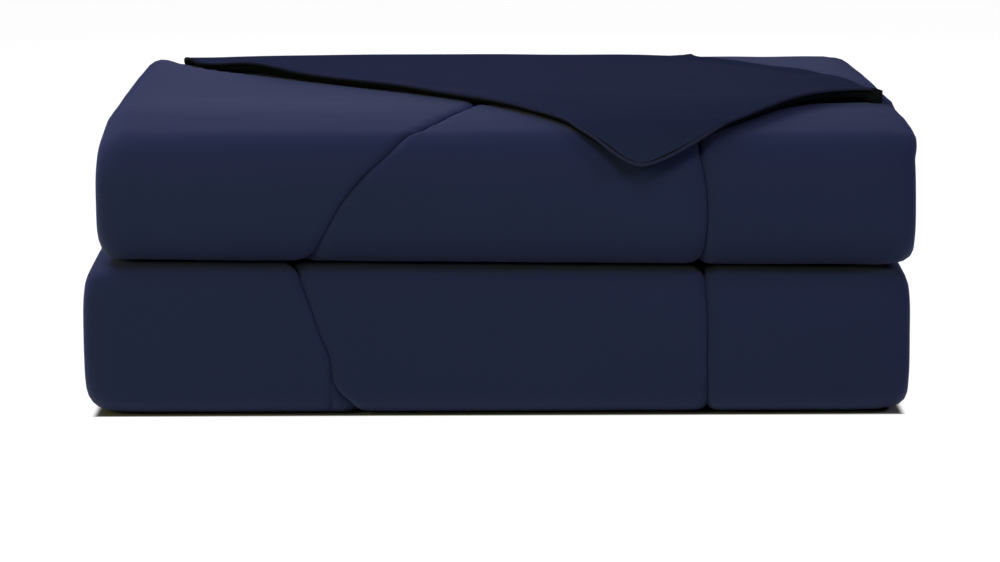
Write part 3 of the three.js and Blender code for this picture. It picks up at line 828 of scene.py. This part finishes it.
def clothFinish(name, side):
    cloth = Finish(name)
    flat = cloth.node("ShaderNodeUVMap", {"uv_map": "UVMap"}, {})
    place = cloth.node("ShaderNodeTexCoord", {}, {}, 3)
    flatX = cloth.node("ShaderNodeSeparateXYZ", {}, {0: flat}, 0)
    flatY = cloth.node("ShaderNodeSeparateXYZ", {}, {0: flat}, 1)
    loops = cloth.sine(flatX, coolCloth["wale"]) * cloth.sine(flatY, coolCloth["course"])
    broad = cloth.noise(place, coolCloth["broadScale"], 3.0)
    fleck = cloth.noise(place, coolCloth["fleckScale"])
    tone = broad * coolCloth["broadShare"] + fleck * (1 - coolCloth["broadShare"])
    dimples = cloth.noise(place, coolCloth["dimpleScale"], 3.0, 0.45)
    knit = cloth.node("ShaderNodeBump", {}, {
        "Strength": coolCloth["knitStrength"], "Distance": coolCloth["knitHeight"], "Height": loops})
    bump = cloth.node("ShaderNodeBump", {}, {
        "Strength": coolCloth["dimpleStrength"], "Distance": coolCloth["dimpleHeight"], "Height": dimples,
        "Normal": knit})
    return cloth.surface({
        "Base Color": cloth.blend(tone, side["dark"], side["light"]),
        "Roughness": coolCloth["roughness"] + (broad - 0.5) * coolCloth["roughnessSpread"],
        "Specular IOR Level": side["specular"],
        "Sheen Weight": side["sheen"],
        "Sheen Roughness": 0.45,
        "Sheen Tint": coolCloth["sheenTint"],
        "Normal": bump,
    })


cordCover = {
    "dark": (0.0055, 0.0065, 0.0085, 1),     # painted shade along the left side
    "light": (0.0155, 0.0185, 0.0370, 1),    # the cord's own colour, along the front side
    "shadedX": -0.14,
    "unshadedX": 0.07,
    "broadScale": 40.0,
    "broadShare": 0.15,
    "roughness": 0.6,
    "roughnessSpread": 0.1,
    "specular": 0.01,
    "twill": 0.0013,
    "twillShare": 0.08,
    "twillStrength": 0.6,
    "twillHeight": 0.00012,
}


def cordFinish():
    cord = Finish("cordCover")
    flat = cord.node("ShaderNodeUVMap", {"uv_map": "UVMap"}, {})
    place = cord.node("ShaderNodeTexCoord", {}, {}, 3)
    flatX = cord.node("ShaderNodeSeparateXYZ", {}, {0: flat}, 0)
    flatY = cord.node("ShaderNodeSeparateXYZ", {}, {0: flat}, 1)
    twill = cord.sine(flatX + flatY, cordCover["twill"])
    broad = cord.noise(place, cordCover["broadScale"])
    # Painted shade: the cord's colour darkens towards the left side by its X place; random tone and twill are
    # mixed in.
    placeX = cord.node("ShaderNodeSeparateXYZ", {}, {0: place}, 0)
    shadeAndTone = cord.node("ShaderNodeMapRange", {"interpolation_type": "SMOOTHSTEP"},
                      {"Value": placeX, "From Min": cordCover["shadedX"], "From Max": cordCover["unshadedX"]})
    shadeAndTone = shadeAndTone - broad * cordCover["broadShare"] + twill * cordCover["twillShare"]
    bump = cord.node("ShaderNodeBump", {}, {
        "Strength": cordCover["twillStrength"], "Distance": cordCover["twillHeight"], "Height": twill})
    return cord.surface({
        "Base Color": cord.blend(shadeAndTone, cordCover["dark"], cordCover["light"]),
        "Roughness": cordCover["roughness"] + broad * cordCover["roughnessSpread"],
        "Specular IOR Level": cordCover["specular"],
        "Normal": bump,
    })


stitchThread = {
    "fleckScale": 900.0,
    "roughness": 0.5,
    "specular": 0.2,
}


def threadFinish():
    thread = Finish("stitchThread")
    place = thread.node("ShaderNodeTexCoord", {}, {}, 3)
    fleck = thread.noise(place, stitchThread["fleckScale"], 1.0)
    return thread.surface({
        "Base Color": thread.blend(fleck, coolCloth["face"]["dark"], coolCloth["face"]["light"]),
        "Roughness": stitchThread["roughness"],
        "Specular IOR Level": stitchThread["specular"],
    })


faceCloth = clothFinish("faceCloth", coolCloth["face"])
reverseCloth = clothFinish("reverseCloth", coolCloth["reverse"])
# The turned corner's underside and sides get a near-black finish: painted shade.
rimShadeCloth = clothFinish("rimShadeCloth", coolCloth["rim"])

comforter, seams = buildBody([faceCloth, reverseCloth])
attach(comforter, "root")
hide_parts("comforter")
print("comforter: filled body,", len(comforter.data.polygons), "faces")

corner = buildCorner([reverseCloth, rimShadeCloth])
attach(corner, "root")
print("turned corner:", len(corner.data.polygons), "faces")

piping = buildPiping(cordFinish())
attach(piping, "root")
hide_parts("piping")
print("piping:", len(piping.data.polygons), "faces")

stitches = buildStitches(seams, threadFinish())
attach(stitches, "root")
print("stitches:", len(stitches.data.polygons), "faces")


studio = {
    "floorSize": 14.0,
    "floorColour": (0.15, 0.15, 0.15, 1),
    "floorRoughness": 0.9,
    "floorGlow": 0.97,
    "shadowHalfWidth": 0.285,       # the paper's glow is cut out under the stack: a painted contact shadow at its foot
    "shadowHalfDepth": 0.270,
    "shadowFade": 0.006,
    "skyStrength": 0.0,            # the lamps and the paper alone light the stack
    "aim": (0.0, -0.05, 0.12),
    "lamps": [
        {"name": "backLeftLamp", "at": (-1.1, 1.2, 1.2), "size": 0.8,
         "watts": 13, "colour": (0.52, 0.52, 1.0)},
        {"name": "backLamp", "at": (0.0, 2.4, 0.75), "size": 1.0,
         "watts": 4.6, "colour": (0.65, 0.65, 1.0)},
        {"name": "overheadLamp", "at": (-0.9, 0.2, 1.4), "size": 0.8,
         "watts": 13.2, "colour": (0.52, 0.52, 1.0)},
        {"name": "frontLeftLamp", "at": (-1.9, -1.8, 1.0), "size": 1.0,
         "watts": 32, "colour": (1.0, 1.0, 0.52)},
        {"name": "sideLamp", "at": (2.0, -1.05, 1.25), "size": 0.5,
         "watts": 19.4, "colour": (0.8, 0.8, 1.0)},
        {"name": "frontLamp", "at": (0.0, -1.2, 1.9), "size": 1.0,
         "watts": 20, "colour": (0.95, 0.87, 1.0)},
    ],
}


def buildStudio():
    paper = Finish("palePaper")
    place = paper.node("ShaderNodeTexCoord", {}, {}, 3)

    def away(axis, start):  # 0 under the stack and 1 past its side
        along = paper.node("ShaderNodeSeparateXYZ", {}, {0: place}, axis)
        distance = paper.node("ShaderNodeMath", {"operation": "ABSOLUTE"}, {0: along})
        return paper.node("ShaderNodeMapRange", {"interpolation_type": "SMOOTHSTEP"},
                          {"Value": distance, "From Min": start, "From Max": start + studio["shadowFade"]})

    # Painted shadow: the paper's glow fades to nothing under the stack, so its foot shows a dark contact
    # line.
    pastEnd, pastFront = away(0, studio["shadowHalfWidth"]), away(1, studio["shadowHalfDepth"])
    outsideShadow = paper.node("ShaderNodeMath", {"operation": "MAXIMUM"}, {0: pastEnd, 1: pastFront})
    paper.surface({
        "Base Color": studio["floorColour"],
        "Roughness": studio["floorRoughness"],
        "Specular IOR Level": 0.0,
        "Emission Color": paper.blend(outsideShadow, (0, 0, 0, 1), (1, 1, 1, 1)),
        "Emission Strength": studio["floorGlow"],
    })
    bm = bmesh.new()
    bmesh.ops.create_grid(bm, x_segments=4, y_segments=4, size=studio["floorSize"] / 2)
    floor = newPiece("floor", bm, [paper.material])

    world = bpy.data.worlds.new("studioSky")
    bpy.context.scene.world = world
    world.use_nodes = True
    sky = world.node_tree.nodes["Background"]
    sky.inputs["Strength"].default_value = studio["skyStrength"]

    for lamp in studio["lamps"]:
        light = bpy.data.lights.new(lamp["name"], "AREA")
        light.shape = "SQUARE"
        light.size = lamp["size"]
        light.energy = lamp["watts"]
        light.color = lamp["colour"]
        placed = bpy.data.objects.new(lamp["name"], light)
        placed.location = lamp["at"]
        facing = Vector(studio["aim"]) - Vector(lamp["at"])
        placed.rotation_euler = facing.to_track_quat("-Z", "Y").to_euler()
        bpy.context.scene.collection.objects.link(placed)


view = {
    "eye": (0.0012, -3.2014, 0.55),
    "target": (0.0012, -0.0014, 0.0548),
    "roll": -0.2,                  # degrees
    "pixelsWide": 1000,
    "focalPixels": 4185,
    "sensor": 36.0,
}


def placeCamera():
    camera = bpy.data.cameras.new("camera")
    camera.sensor_width = view["sensor"]
    camera.lens = view["focalPixels"] / view["pixelsWide"] * view["sensor"]
    placed = bpy.data.objects.new("camera", camera)
    placed.location = view["eye"]
    aimed = (Vector(view["target"]) - Vector(view["eye"])).to_track_quat("-Z", "Y")
    placed.rotation_euler = (aimed @ Quaternion((0, 0, 1), math.radians(view["roll"]))).to_euler()
    bpy.context.scene.collection.objects.link(placed)
    bpy.context.scene.camera = placed


buildStudio()
placeCamera()
bpy.context.scene.view_settings.view_transform = "Standard"
